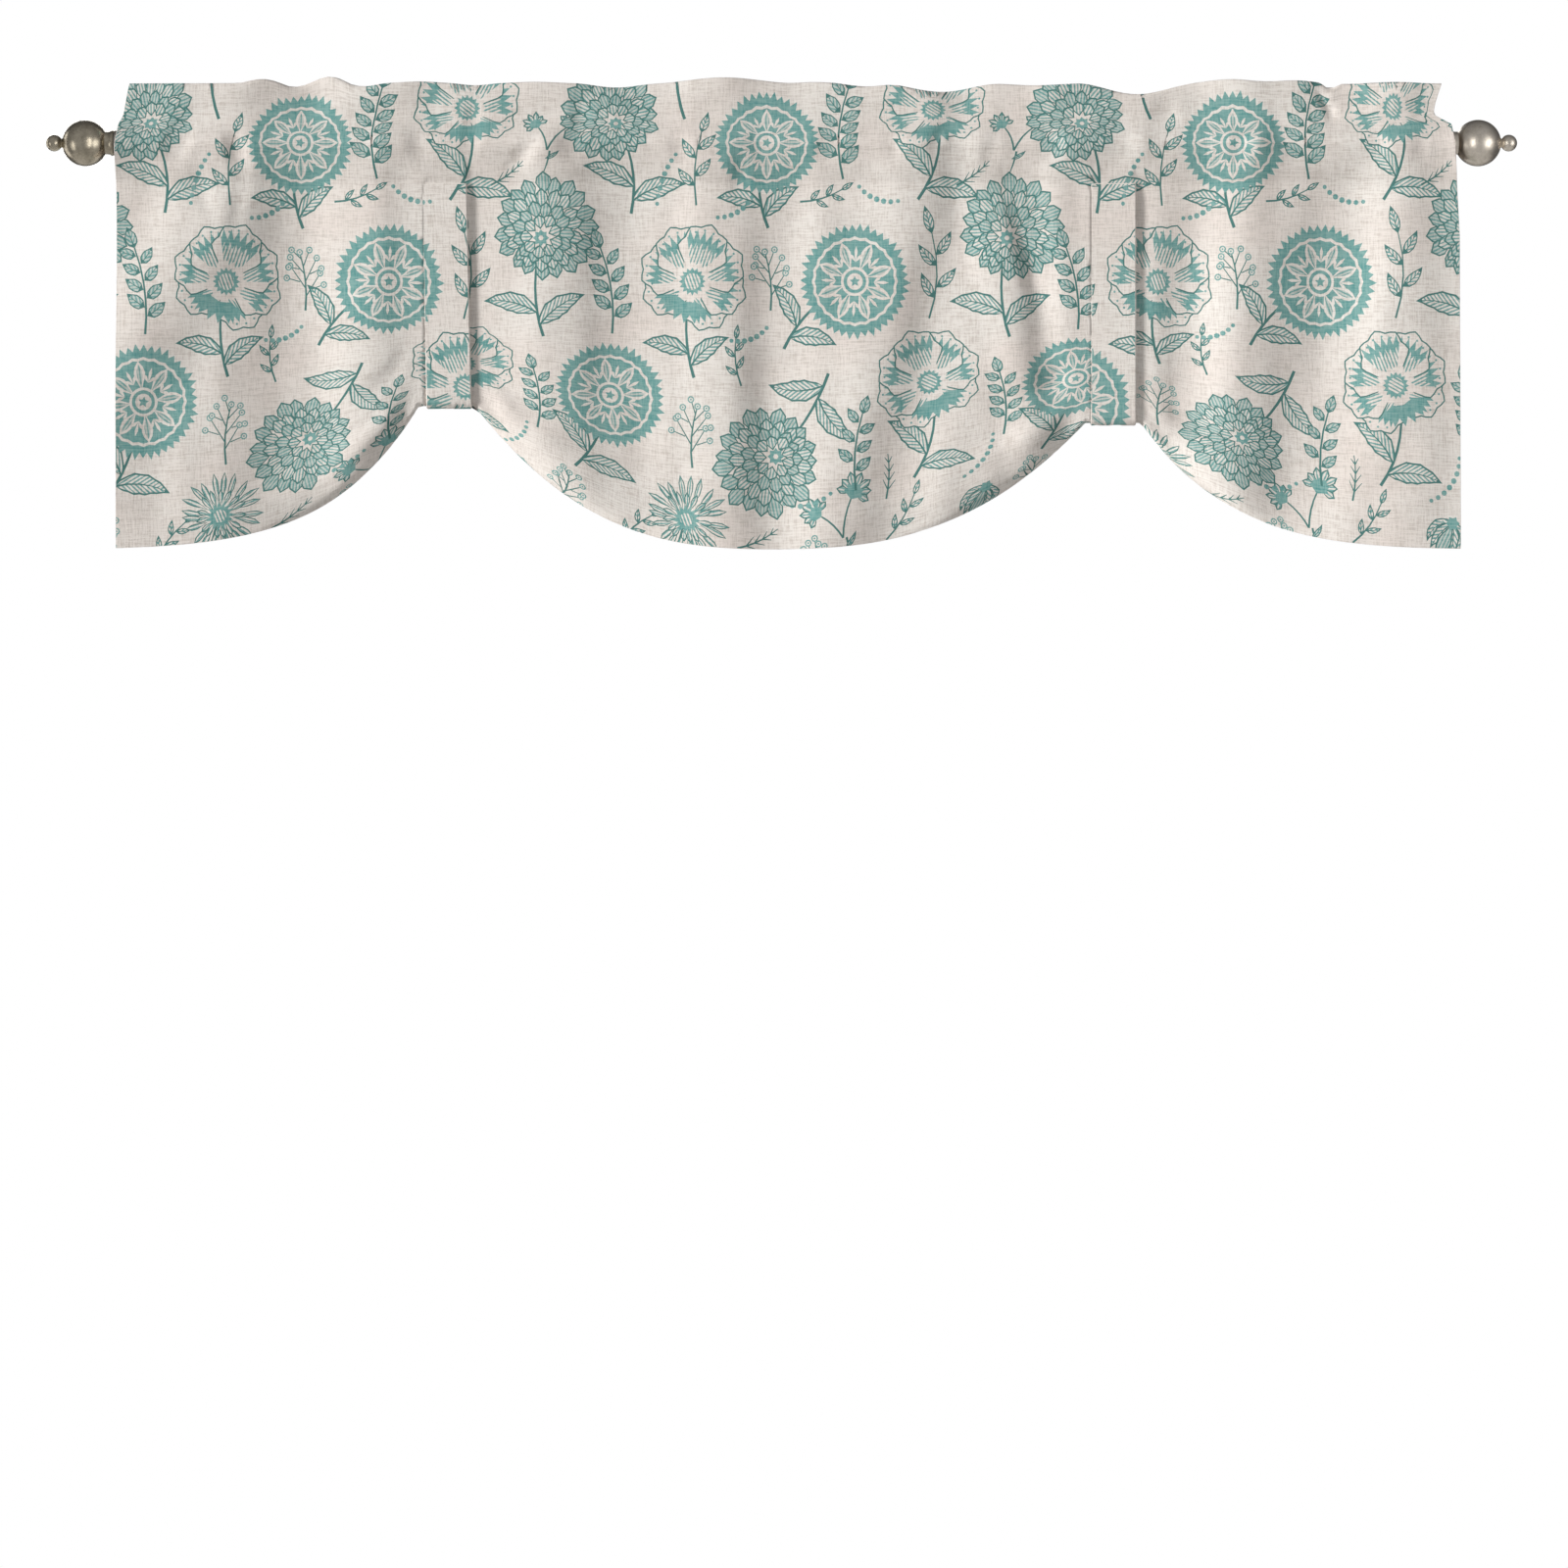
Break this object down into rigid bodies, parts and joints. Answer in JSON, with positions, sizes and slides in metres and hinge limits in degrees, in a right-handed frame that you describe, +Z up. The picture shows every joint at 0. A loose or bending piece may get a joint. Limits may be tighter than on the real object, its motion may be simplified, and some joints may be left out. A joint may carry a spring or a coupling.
{
  "type": "window valance on a curtain rod",
  "caption": "Gathered window valance with a rod pocket and sewn ties that lift its hem into swags, hanging on a plain curtain rod with ball finials.",
  "frame": {"origin": "on the rod's axis, halfway along the rod", "axes": "+X along the rod to the right as the front is seen, +Y towards the window, +Z up"},
  "size_m": [1.4298, 0.0446, 0.4596],
  "materials": {
    "cloth": "matte linen-look weave with a teal floral print",
    "tie_cloth": "matte linen-look weave with a teal floral print",
    "rod_metal": "brushed",
    "finial_metal": "antique pewter, satin"
  },
  "bodies": {
    "root": {"panel": "cloth", "tie_left": "tie_cloth", "tie_right": "tie_cloth", "rod": "rod_metal", "finial_left": "finial_metal", "finial_right": "finial_metal"}
  },
  "joints": []
}
